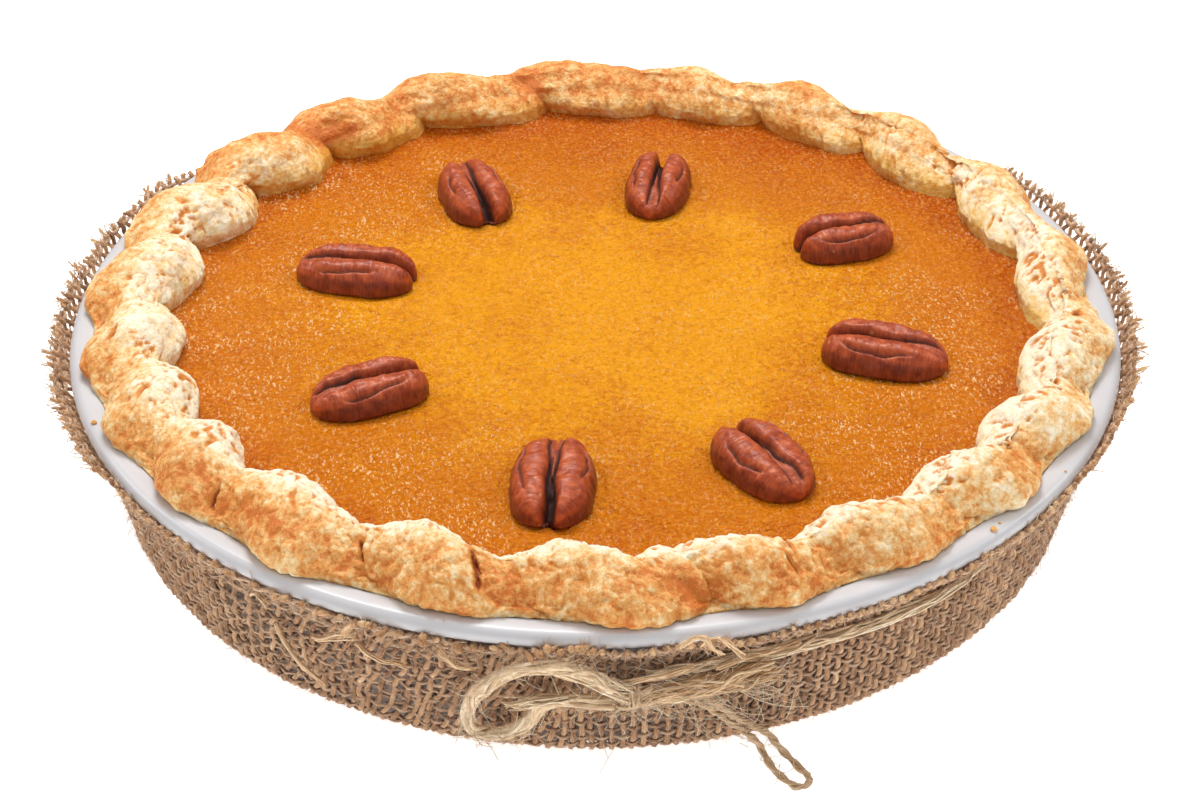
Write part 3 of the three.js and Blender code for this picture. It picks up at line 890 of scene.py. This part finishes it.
def crust():
    left = pastry_roll("pastry_roll_left", 102.0, 281.0, (-0.5, 2.2))
    dress(left, PASTRY, "crust", "crust")
    right = pastry_roll("pastry_roll_right", -85.0, 107.0, (-2.6, 0.6))
    dress(right, PASTRY, "crust")
    profile = [(60, 7.1), (112, 7.1), (118.8, 11), (123.4, 32), (125.6, 41.5), (127.6, 45.6), (130.0, 46.2),
               (130.0, 46.7), (129.2, 47.0), (122, 47.0), (120, 43.5), (112, 43.5), (109.5, 17), (103, 12.2),
               (60, 12.2)]
    case = turned("pastry_case", profile, 128)
    for name in ("baked", "hollow_and_shade", "moist"):
        attribute(case, name, np.full(len(case.data.vertices), 0.5 if name == "baked" else 0.1))
    dress(case, PASTRY, "crust")


crust()


# ---- filling ----

def distance_to_pecan(x, y, pecan):
    px, py, direction, length, width = pecan
    turn = math.radians(direction)
    u = (x - px) * math.cos(turn) + (y - py) * math.sin(turn)
    v = (y - py) * math.cos(turn) - (x - px) * math.sin(turn)
    return (np.hypot(u / (length / 2), v / (width / 2)) - 1) * width / 2


def filling():
    columns = 640
    angle = np.linspace(0, 360, columns, endpoint=False)
    edge = inner_edge(place_of(angle)) + 2.6
    share = np.linspace(1, 0.012, 140)
    top_radius = edge[None] * share[:, None]
    top = polar(angle[None], top_radius, LEVEL_Z)
    x, y = top[..., 0], top[..., 1]
    inward = edge[None] - top_radius
    sheet = top * [1, 1, 0]
    relief = 0.30 * clouds(sheet, 22, 3, 60) + 0.10 * clouds(sheet, 4.0, 2, 64)
    front = np.exp(-((x - 14) / 42) ** 2 - ((y + 92) / 13) ** 2)
    ripple = np.sin((x * 0.55 + y * 1.0) / 1.9 + 2.0 * grain(sheet, 16, 66))
    relief = relief + 0.6 * front * ripple
    relief = relief + 0.9 * np.exp(-inward / 2.0) - 0.5 * bell(inward, 6, 4)
    for pecan in PECANS:
        near = distance_to_pecan(x, y, pecan)
        relief = relief - 0.7 * bell(np.maximum(near, 0), 0, 1.8) + 0.25 * bell(near, 4, 2)
    top[..., 2] = LEVEL_Z + relief * smoothstep(0, 0.02, share)[:, None]
    under = [(20, 12.4), (60, 12.4), (edge - 9, 12.5), (edge - 3, 18), (edge - 1.5, 38)]
    below = [polar(angle, radius, z)[None] for radius, z in under]
    rings = np.concatenate([*below, top])
    reach = np.hypot(rings[..., 0], rings[..., 1])
    tone = smoothstep(38, 112, reach) * 0.72 + 0.28 * smoothstep(98, 112, reach)
    back = smoothstep(20, 100, rings[..., 1]) * 0.25
    # Where the painted glints of the custard gather: round the sides, less in the middle.
    around = np.degrees(np.arctan2(rings[..., 1], rings[..., 0]))
    sides = bell(away(around, 165), 0, 38) * smoothstep(45, 75, reach)
    sides = sides + bell(around, -118, 26) * smoothstep(45, 75, reach)
    sides = sides + 0.9 * bell(around, -22, 34) * smoothstep(50, 80, reach)
    glint_area = np.clip(0.3 + sides, 0, 1)
    piece = skin("pumpkin_filling", rings, [("edge", tone + back), ("glint_area", glint_area)])
    dress(piece, CUSTARD, "filling", "filling")


filling()


# ---- pecan halves ----

def pecan(number, x, y, direction, length, width):
    """A half nut: two round wrinkled lobes on both sides of a furrow that stays open at one end."""
    rows, columns = 124, 128
    width = 0.95 * width
    seed = 80 + 7 * number
    u = -np.cos(math.pi * (np.arange(rows) + 0.5) / rows)[:, None]
    turn = np.linspace(0, 2 * math.pi, columns, endpoint=False)[None]
    v, h = np.cos(turn), np.sin(turn)
    flat = 0 * (u + v)
    aside = np.abs(v)
    above = (h > 0) + flat
    shape = (1 - np.abs(u) ** np.where(u > 0, 3.8, 2.6)) ** 0.52
    local = stacked(u * 16, v * 9, h * 5)
    line = stacked(u * 16, flat, flat)
    tall = 7.3 + 0.3 * math.sin(seed)
    lobe = np.where(aside < 0.44, 1 - 0.16 * ((0.44 - aside) / 0.44) ** 2,
                    np.sqrt(np.clip(1 - (np.maximum(aside - 0.44, 0) / 0.56) ** 2, 0, 1)))
    top = shape ** 0.8 * np.where(h > 0, tall * lobe, h * 1.4)
    side = v * shape * width / 2
    # furrow down the middle, wider towards the split end, where it runs out to the foot
    middle = np.abs(side - 0.6 * grain(line, 8, seed) - 0.2 * u)
    half = 0.95 + 0.55 * smoothstep(-0.6, 0.9, u)
    furrow = np.exp(-(middle / half) ** 3.2) * smoothstep(-1.0, -0.8, u) * above
    # tongue that fills the furrow from the closed end and thins out
    tongue = np.exp(-(middle / (0.12 + 1.1 * (1 - smoothstep(-0.5, 0.6, u)))) ** 2.6)
    tongue = tongue * (1 - smoothstep(0.3, 0.7, u)) * above
    gutter = bell(middle - 1.4 * (1 - smoothstep(-0.9, 0.6, u)), 0.2, 0.42) * above
    gutter = gutter * smoothstep(-1.0, -0.8, u) * (1 - smoothstep(0.35, 0.6, u))
    # a short curved groove on the back of each lobe
    lane = 0.74 - 0.16 * (u + 0.1) ** 2 + 0.05 * np.sin(4.0 * u + seed)
    lane = lane + 0.04 * grain(local * [1, 0.2, 0], 5, seed + 1)
    reach = 0.30 + 0.12 * np.sin(seed + np.sign(v))
    groove = np.exp(-(np.abs(aside - lane) / 0.045) ** 1.6) * above
    off_centre = np.abs(u - 0.08 * np.sin(2.0 * seed) * np.sign(v))
    groove = groove * (1 - smoothstep(reach, reach + 0.25, off_centre))
    across = stacked(u * 34, v * 3, h * 2)
    wrinkles = grain(across, 2.2, seed + 2) * smoothstep(0.15, 0.6, aside) * np.maximum(h, 0)
    lumps = clouds(local, 5.0, 3, seed + 3)
    open_end = smoothstep(0.25, 1.0, u)
    cut = furrow * (4.0 + 2.6 * open_end) * (1 - 0.76 * tongue) + 1.5 * gutter + 1.2 * groove
    top = top - cut * shape ** 0.4 + (0.32 * wrinkles + 0.5 * lumps) * np.maximum(h, 0)
    top = np.maximum(top, -1.4)
    side = side * (1 + 0.03 * wrinkles + 0.04 * lumps)
    # the lobes end short of each other at the split end
    ends = u * length / 2 * (1 - 0.13 * bell(side, 0, 1.7) * smoothstep(0.7, 1.0, u))
    c, s = math.cos(math.radians(direction)), math.sin(math.radians(direction))
    placed = stacked(x + ends * c - side * s, y + ends * s + side * c, top + 0.2 + LEVEL_Z)
    # How dark the furrow and grooves are painted: partly the skin's colour, partly painted shade.
    dark = np.clip(furrow * (1 - 0.8 * tongue) + 0.8 * gutter + 0.7 * groove, 0, 1)
    flank = smoothstep(0.80, 1.0, aside) + flat
    own = stacked(ends, side, top) + 50 * number
    piece = skin(f"pecan_half_{number}", placed, [("groove", dark), ("flank", flank), ("own", own)])
    dress(piece, NUT, "pecan", f"pecan_{number}")


for index, half in enumerate(PECANS):
    pecan(index + 1, *half)


# ---- burlap ----

WARPS = 310             # upright threads
PITCH = 2.68            # from one round thread to the next
CLOTH_MIDDLE = [(96, 1.3), (117, 1.3), *bend(117, 10.2, 8.9, -80, -11, 7), (128.0, 20.0), (130.0, 31.2),
                (130.5, 34.0), (131.8, 37.6), (135.8, 41.4), (137.8, 43.6), (139.2, 46.4)]
THREAD_LIFT = 0.5       # how far a thread rises over the ones that it crosses
CUT = np.array(CLOTH_MIDDLE, float)
CUT_RUN = run_along(CUT)
CLOTH_LENGTH = CUT_RUN[-1]


def front(angle):
    """1 in front, where the top edge lies lower and closer, 0 at the sides and the back."""
    return 1 - smoothstep(42, 70, away(angle, -90))


def flare(angle):
    """1 at both sides, where the top edge spreads outwards beyond the lip."""
    return np.maximum(1 - smoothstep(24, 36, away(angle, 178)), 1 - smoothstep(20, 32, away(angle, 8)))


def behind(angle):
    return 1 - smoothstep(48, 62, away(angle, 91))


def pulled(angle):
    """1 left of the knot, where the weave is pulled askew and open."""
    return 1 - smoothstep(12, 24, away(angle, -113))


def noise_along(angle, run, size, seed):
    return grain(stacked(angle * 2.3, run, 0), size, seed)


def skew(angle, run):
    """How far the upright threads lean sideways, in degrees."""
    loose = pulled(angle)
    return 0.16 * loose * np.maximum(run - 28, 0) + (0.25 + 0.9 * loose) * noise_along(angle, run, 10, 75)


def cloth(angle, run):
    """Middle of the cloth and its outward direction, for a direction and a length from the inner edge."""
    angle, run = np.broadcast_arrays(np.asarray(angle, float), np.asarray(run, float))
    where = stacked(angle * 2.3, run, 0)
    dip = 3.4 * bell(away(angle, -102.5), 0, 4.5) + 2.2 * bell(away(angle, -115.5), 0, 2.2)
    short = 4.4 * front(angle) + 4.2 * behind(angle) + dip + 0.8 * grain(where * [0.35, 0, 0], 9, 71)
    length = np.clip(run - short * smoothstep(46, CLOTH_LENGTH, run), 0, CLOTH_LENGTH + 12)
    over = np.maximum(length - CLOTH_LENGTH, 0)
    slope = unit(CUT[-1] - CUT[-2])
    radius = np.interp(length, CUT_RUN, CUT[:, 0]) + over * slope[0]
    z = np.interp(length, CUT_RUN, CUT[:, 1]) + over * slope[1]
    step = [stacked(*(np.interp(length + k, CUT_RUN, column) for column in CUT.T)) for k in (-1.5, 1.5)]
    tangent = unit(step[1] - step[0])
    crumple = (0.7 * clouds(where, 14, 2, 73) - 0.3) * smoothstep(24, 34, run)
    crumple = crumple + 0.9 * flare(angle) * smoothstep(60, CLOTH_LENGTH, run)
    radius = radius + tangent[..., 1] * crumple
    z = z - tangent[..., 0] * crumple
    return polar(angle, radius, z), polar(angle, tangent[..., 1], -tangent[..., 0])


def burlap():
    share = np.arange(WARPS) * 360 / WARPS - 180
    # upright threads
    start = share[:, None]
    run = np.broadcast_to(np.linspace(0, CLOTH_LENGTH + 0.5, 63), (WARPS, 63))
    drift = 0.16 * noise_along(start * 3.5, run, 12, 79)
    middle, out = cloth(start + skew(start, run) + drift, run)
    cross = -np.cos(math.pi * (run - 1.0) / PITCH) * np.where(np.arange(WARPS) % 2, -1, 1)[:, None]
    thickness = 0.74 * (1 + 0.2 * noise_along(start * 3.5, run, 5, 81))
    middle = middle + out * (THREAD_LIFT * cross)[..., None]
    warp = strands("burlap_upright_threads", middle, thickness, 0.78, 5, side_of=out)
    # threads that run round the dish
    angle = np.linspace(-180, 180, 780, endpoint=False)
    paths, faces, widths = [], [], []
    for j in range(round(CLOTH_LENGTH / PITCH)):
        loose = pulled(angle)
        wander = noise_along(angle, 40.0 * j * (1 - loose) + 3 * j * loose, 13, 77)
        run = 1.0 + j * PITCH + (0.3 + 1.1 * loose) * wander
        middle, out = cloth(angle, run)
        cross = np.cos(math.pi * (angle + 180 - skew(angle, run)) * WARPS / 360) * (-1) ** j
        paths.append(middle + out * (THREAD_LIFT * cross)[:, None])
        faces.append(out)
        widths.append(0.54 * (1 + 0.3 * noise_along(angle, 9.0 * j, 6, 78)))
    weft = strands("burlap_round_threads", np.array(paths), np.array(widths), 0.8, 4, True, np.array(faces))
    dress(warp, WARP_JUTE, "burlap", "burlap_band")
    dress(weft, WEFT_JUTE, "burlap")
    others = [weft, thread_ends(share), *burlap_fuzz(), loose_threads()]


FURTHEST = 145.0        # no loose fibre stands further from the axis


def kept_close(paths):
    """Draws in the parts of paths that stand too far from the axis."""
    reach = np.hypot(paths[..., 0], paths[..., 1])
    limit = np.where(reach > FURTHEST - 3, FURTHEST - 3 * np.exp(-(reach - FURTHEST + 3) / 3), reach)
    paths[..., :2] *= (limit / reach)[..., None]
    return paths


def thread_ends(share):
    """Cut ends of the upright threads above the last round one, with the fibres that spread from them."""
    thick, thick_widths, thin, thin_widths = [], [], [], []
    for start in share:
        ahead, wide = float(front(start)), float(flare(start))
        turn = float(skew(np.array([start]), np.array([CLOTH_LENGTH]))[0])
        root, out = cloth(np.array([start + turn]), np.array([CLOTH_LENGTH - 1.2]))
        tip, _ = cloth(np.array([start + turn]), np.array([CLOTH_LENGTH + 1.0]))
        rise = unit(tip[0] - root[0])
        outward_way = polar(start, 1.0, 0.0)
        sideways = polar(start + 90, 1.0, 0.0)
        loose = float(pulled(start))
        long = 1.4 + rng.uniform(0.4, 1.4) * ahead
        long = long + rng.uniform(1.0, 2.6) * loose + rng.uniform(0.6, 2.8) * wide
        way = rise + outward_way * rng.uniform(0.1, 0.9) * wide
        way = way + sideways * rng.normal(0, 0.25 + 0.35 * (wide + loose))
        way = unit(way + np.array([0, 0, rng.normal(0, 0.2)]))
        curl = (sideways * rng.normal(0, 0.35) + out[0] * rng.normal(0.1, 0.3)
                + np.array([0, 0, rng.normal(-0.05, 0.3) - 0.5 * loose * rng.uniform()]))
        t = np.linspace(0, 1, 8)[:, None]
        thick.append(root[0] + way * long * t + curl * 0.5 * long * t ** 2)
        knob = (0.5 + rng.uniform(0.0, 0.55) * (1 - wide)) * (1 + 0.35 * loose * rng.uniform())
        taper = np.interp(t[:, 0], [0, 0.4, 0.75, 0.92, 1], [0.6, 0.62 - 0.2 * wide, knob, 0.8 * knob, 0.3])
        thick_widths.append(taper)
        for _ in range(10 if wide > 0.3 else 12 if ahead > 0.5 else 3):
            t = np.linspace(0, 1, 6)[:, None]
            reach = long * rng.uniform(0.5, 0.8 + 0.3 * wide) + 0.3
            spread = rng.normal(0, 0.55, 3)
            arch = rng.normal(0, 0.35, 3) * np.sin(math.pi * t)
            thin.append(root[0] + rng.normal(0, 0.25 + 0.3 * wide, 3) + way * reach * t
                        + arch + (curl * 0.5 + spread) * reach * t ** 2)
            thin_widths.append(rng.uniform(0.09, 0.2) * (1 - 0.5 * t[:, 0]))
    ends = strands("burlap_thread_ends", kept_close(np.array(thick)), np.array(thick_widths), 0.9, 6)
    dress(ends, END_JUTE, "burlap")
    frayed = strands("burlap_frayed_ends", kept_close(np.array(thin)), np.array(thin_widths), 1.0, 3)
    dress(frayed, HAIR, "burlap")
    return ends


def hairs(root, way, out, long, lift, steps=5):
    """Curled hairs from a root along a direction, arching outwards."""
    count = len(root)
    bend_way = unit(rng.normal(size=(count, 3)))
    t = np.linspace(0, 1, steps)[None, :, None]
    long, lift = long[:, None, None], lift[:, None, None]
    paths = root[:, None] + way[:, None] * long * t + bend_way[:, None] * 0.75 * long * t ** 2
    paths = paths + out[:, None] * (np.sin(math.pi * t) * 0.8 + 0.5 * t) * lift * long * 0.35
    paths[..., 2] = np.maximum(paths[..., 2], 0.12)
    return kept_close(paths)


def burlap_fuzz():
    """Loose hairs standing off the cloth, in two pieces."""
    pieces = []
    for number in (1, 2):
        count = 8600
        angle = rng.uniform(-180, 0, count) + 180 * (number - 1)
        run = CLOTH_LENGTH - 1.5 - 50 * rng.uniform(0, 1, count)
        root, out = cloth(angle, run)
        long = rng.uniform(1.0, 3.6, count) * (0.4 + 0.6 * smoothstep(2, 12, root[:, 2]))
        around = unit(np.cross([0, 0, 1.0], out))
        spin = rng.uniform(0, 2 * math.pi, count)[:, None]
        way = around * np.cos(spin) + np.cross(out, around) * np.sin(spin)
        paths = hairs(root + out * 0.45, way, out, long, rng.uniform(0.05, 0.55, count))
        piece = strands(f"burlap_fuzz_{number}", paths, rng.uniform(0.03, 0.06, (count, 1)), 1.0, 3)
        dress(piece, HAIR, "burlap")
        pieces.append(piece)
    return pieces


# Threads that have come out of the weave: direction, distance from the axis, height of each point.
LOOSE_THREADS = [
    [(-124.5, 131.6, 28.5), (-122.9, 133.0, 25.3), (-121.0, 133.9, 22.0),
     (-119.4, 133.8, 19.6), (-118.0, 134.2, 18.0)],
    [(-119.6, 131.8, 29.0), (-118.2, 133.6, 31.2), (-116.6, 134.8, 34.0),
     (-115.0, 136.6, 36.8), (-113.4, 137.8, 38.9)],
    [(-114.2, 131.8, 31.8), (-113.0, 133.0, 30.9), (-111.2, 133.9, 30.4),
     (-109.8, 133.9, 31.0), (-108.7, 134.6, 30.9)],
    [(-82.2, 137.6, 43.6), (-81.0, 138.8, 46.6), (-80.2, 139.8, 47.3),
     (-79.5, 140.4, 45.0), (-78.6, 139.4, 42.2)],
    [(-80.0, 137.0, 42.6), (-79.3, 139.2, 46.2), (-78.5, 140.2, 46.8),
     (-77.6, 140.0, 44.0), (-76.3, 138.6, 39.8)],
    [(-88.2, 135.4, 32.2), (-87.1, 136.0, 32.9), (-85.2, 136.4, 34.6),
     (-83.2, 136.2, 35.0), (-80.8, 136.4, 36.4)],
    [(-78.4, 135.6, 35.0), (-75.6, 136.6, 37.6), (-73.0, 137.0, 38.6), (-70.6, 137.2, 39.8)],
    [(-105.0, 136.8, 40.0), (-104.0, 137.8, 38.0), (-102.8, 137.4, 36.2), (-101.4, 137.6, 36.6)],
    [(-127.5, 131.4, 34.0), (-126.4, 132.8, 36.6), (-125.0, 134.8, 38.4), (-123.4, 136.0, 38.0)],
]


def loose_threads():
    paths, widths = [], []
    for points in LOOSE_THREADS:
        route = routed(points, 24)
        share = np.linspace(0, 1, 24)
        for _ in range(9):
            sway = stacked(share * 9 + rng.uniform(0, 90), 0, 0)
            offset = stacked(*(grain(sway, 4, k) for k in (91, 92, 93)))
            offset = offset * (0.45 + 0.7 * share[:, None] ** 4)
            paths.append(route + offset + rng.normal(0, 0.22, 3))
            widths.append(rng.uniform(0.2, 0.4) * (1 - 0.45 * share ** 3))
    piece = strands("burlap_loose_threads", np.array(paths), np.array(widths), 0.9, 4)
    dress(piece, LOOSE_JUTE, "burlap")
    return piece


burlap()


# ---- loose twine fibres and crumbs ----

def twine_fuzz():
    """Hairs round the knot, the bow and the bundle right of the knot."""
    bow = routed(BOW_ROUTE, 200)
    tail = routed(TAIL_ROUTE, 200)
    groups = []
    for route, count, reach in ((bow, 380, 5.5), (tail, 130, 3.5)):
        at = rng.integers(1, len(route) - 1, count)
        along = unit(route[at + 1] - route[at - 1]) * rng.choice([-1, 1], (count, 1))
        way = unit(along + 0.55 * rng.normal(size=(count, 3)))
        out = unit(route[at] * [1, 1, 0])
        root = route[at] + rng.normal(0, 0.8, (count, 3))
        long, lift = reach * rng.uniform(0.3, 1.0, count), rng.uniform(0, 0.8, count)
        groups.append(hairs(root, way, out, long, lift, 8))
    # fibres that run sideways from the knot
    count = 170
    angle = KNOT["angle"] + rng.uniform(-3, 12, count)
    root = polar(angle, 136.0 + rng.uniform(-1.5, 1.2, count), 30 + rng.normal(0, 2.4, count))
    way = polar(angle + 90, 1, 0 * angle) * rng.choice([1, 1, 1, -1], (count, 1))
    way = unit(way + 0.4 * rng.normal(size=(count, 3)))
    long, lift = rng.uniform(4, 13, count), rng.uniform(0, 0.7, count)
    groups.append(hairs(root, way, unit(root * [1, 1, 0]), long, lift, 8))
    # fibres that hang below it
    count = 60
    angle = KNOT["angle"] + rng.uniform(-6, 16, count)
    root = polar(angle, 134.5 + 0 * angle, 27 + rng.normal(0, 3.0, count))
    way = unit(rng.normal(size=(count, 3)) + [0, 0, -0.9])
    long, lift = rng.uniform(4, 9, count), rng.uniform(0.2, 0.8, count)
    groups.append(hairs(root, way, unit(root * [1, 1, 0]), long, lift, 8))
    paths = np.concatenate(groups)
    reach = np.hypot(paths[..., 0], paths[..., 1])
    paths[..., :2] *= (np.maximum(reach, 132.4) / reach)[..., None]
    piece = strands("twine_hairs", paths, rng.uniform(0.04, 0.1, (len(paths), 1)), 1.0, 3)
    dress(piece, PALE_HAIR, "twine")


def twine_bundle():
    """Untwisted twine: the end right of the knot, the short end in the loop, and the fan above it."""
    share = np.linspace(0, 1, 60)
    route = polar(KNOT["angle"] + 0.5 + 14 * share, 136.0 - 1.6 * share, 28.6 + 3.2 * share)
    half = 1.6 + 1.3 * share
    piece = spun("twine_loose_bundle", route, half, 44, 90, 0.5, 0.38, 9, loose=1.6, uneven=0.3)
    dress(piece, LOOSE_JUTE, "twine")
    share = np.linspace(0, 1, 30)
    short = polar(-92.5 - 6.5 * share, 134.6 + 0.5 * share, 27.2 - 2.2 * share)
    half = 1.0 + 1.0 * share
    tuft = spun("twine_short_end", short, half, 34, 80, 0.4, 0.23, 10, loose=1.2, uneven=0.5)
    dress(tuft, TWINE_JUTE, "twine")
    slope = polar(-94.6 + 8.0 * share, 138.4 - 2.0 * share, 38.8 - 8.4 * share ** 1.4)
    half = 0.9 + 1.5 * share
    sheaf = spun("twine_loose_sheaf", slope, half, 36, 90, 0.4, 0.26, 11, loose=1.0 * share)
    dress(sheaf, TWINE_JUTE, "twine")


def crumbs():
    """Small crumbs of pastry on the lip of the dish."""
    places = [(-157.1, 134.0, 0.7), (-46.3, 134.0, 0.8), (-44.9, 133.2, 0.35), (-33, 134.4, 0.3),
              (60, 134.5, 0.6)]
    for number, (angle, radius, size) in enumerate(places):
        deselect()
        spot = polar(angle, radius, LIP_TOP + size * 0.5) * MM
        bpy.ops.mesh.primitive_ico_sphere_add(subdivisions=3, radius=size * MM, location=tuple(spot))
        crumb = bpy.context.object
        crumb.name = crumb.data.name = f"pastry_crumb_{number + 1}"
        bpy.ops.object.transform_apply(location=True, rotation=True, scale=True)
        at = points_of(crumb)
        swollen = 1 + 0.35 * grain(at / MM, size * 0.9, 90 + number)
        lumpy = spot + (at - spot) * swollen[:, None] * [1, 1, 0.7]
        move_points(crumb, lumpy)
        for name in ("baked", "hollow_and_shade", "moist"):
            attribute(crumb, name, np.full(len(at), 0.3))
        outward(crumb)
        dress(crumb, PASTRY, "crust")


twine_fuzz()
twine_bundle()
crumbs()


# ---- stage ----

def stage():
    deselect()
    bpy.ops.mesh.primitive_plane_add(size=30, location=(0, 0, TABLE_Z))
    floor = bpy.context.object
    floor.name = "floor"
    f = Finish("pale_floor", Roughness=0.9, Base_Color=(0.9, 0.9, 0.9, 1), Emission_Color=(1, 1, 1, 1),
               Emission_Strength=0.8)
    floor.data.materials.append(f.material)
    world = bpy.data.worlds.new("studio")
    bpy.context.scene.world = world
    world.use_nodes = True
    tree = world.node_tree
    background = tree.nodes["Background"]
    background.inputs["Color"].default_value = (1, 1, 1, 1)
    place = tree.nodes.new("ShaderNodeTexCoord")
    split = tree.nodes.new("ShaderNodeSeparateXYZ")
    tree.links.new(place.outputs["Generated"], split.inputs[0])
    total = tree.nodes.new("ShaderNodeMath")
    ranges = (("Z", 0.3, 0.95, 0.10, 0.40), ("Y", 0.1, -0.9, 0.0, 0.42))
    for number, (axis, low, high, bottom, top) in enumerate(ranges):
        part = tree.nodes.new("ShaderNodeMapRange")
        for socket, value in zip(("From Min", "From Max", "To Min", "To Max"), (low, high, bottom, top)):
            part.inputs[socket].default_value = value
        tree.links.new(split.outputs[axis], part.inputs["Value"])
        tree.links.new(part.outputs["Result"], total.inputs[number])
    tree.links.new(total.outputs[0], background.inputs["Strength"])
    lamp("key", (-0.15, 0.62, 1.15), (0.55, 0.45), 11.6)
    lamp("overhead", (0.15, -0.10, 1.3), (1.0, 1.0), 4.5)
    lamp("left", (-0.95, 0.35, 0.75), (0.3, 0.3), 2.2)
    lamp("right", (0.95, 0.30, 0.75), (0.3, 0.3), 2.2)
    scene = bpy.context.scene
    scene.view_settings.view_transform = "Standard"
    scene.view_settings.look = "None"


def lamp(name, place, size, power):
    light = bpy.data.lights.new(name, "AREA")
    light.shape = "RECTANGLE"
    light.size, light.size_y = size
    light.energy = power
    holder = bpy.data.objects.new(name, light)
    holder.location = place
    holder.rotation_euler = (Vector((0, 0, 0.03)) - Vector(place)).to_track_quat("-Z", "Y").to_euler()
    bpy.context.collection.objects.link(holder)


stage()
